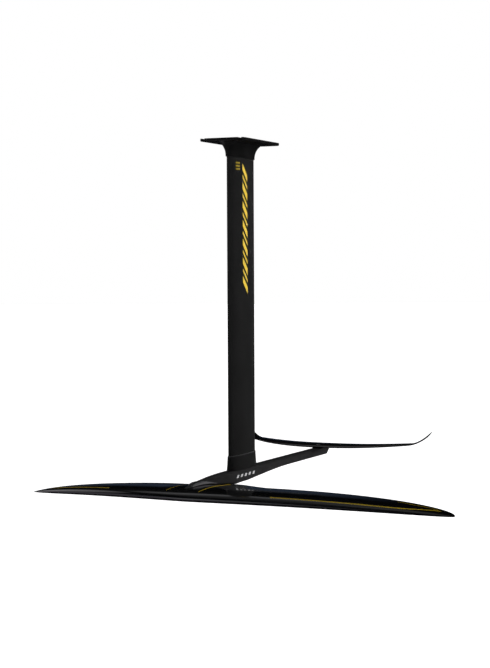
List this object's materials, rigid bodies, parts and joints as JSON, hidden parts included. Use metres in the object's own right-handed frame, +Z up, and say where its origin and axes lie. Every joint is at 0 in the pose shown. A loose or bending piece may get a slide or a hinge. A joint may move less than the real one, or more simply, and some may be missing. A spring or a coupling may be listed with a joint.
{
  "type": "hydrofoil",
  "caption": "Hydrofoil for a foil board: a slotted board plate, a foil-section mast, a fuselage, a large curved front wing and a small stabiliser with upturned tips.",
  "frame": {"origin": "centre of the mast plate's top face, where it lies on the board's underside", "axes": "+Z up into the board, -Y forward in the direction of travel, +X to port across the wings"},
  "size_m": [1.0518, 0.9408, 0.8275],
  "materials": {
    "plate": "black anodised, satin",
    "mast": "charcoal anodised, matte",
    "collar": "black anodised, satin",
    "fuselage": "charcoal anodised, satin",
    "foil": "carbon laminate under gloss black and navy clear coat",
    "insert": "bare machined",
    "screw": "stainless, turned",
    "threaded_insert": "stainless, turned"
  },
  "bodies": {
    "root": {"mast_plate": "plate", "mast_tube": "mast", "mast_collar": "collar", "fuselage": "fuselage", "front_wing": "foil", "rear_stabilizer": "foil", "mast_head_insert": "insert", "mast_foot_insert": "insert", "plate_screw_1": "screw", "mast_screw_1": "screw", "wing_screw_1": "screw", "wing_insert_1": "threaded_insert", "plate_screw_2": "screw", "mast_screw_2": "screw", "wing_screw_2": "screw", "wing_insert_2": "threaded_insert", "plate_screw_3": "screw", "mast_screw_3": "screw", "wing_screw_3": "screw", "wing_insert_3": "threaded_insert", "stabilizer_screw_1": "screw", "stabilizer_insert_1": "threaded_insert", "stabilizer_screw_2": "screw", "stabilizer_insert_2": "threaded_insert"}
  },
  "joints": []
}
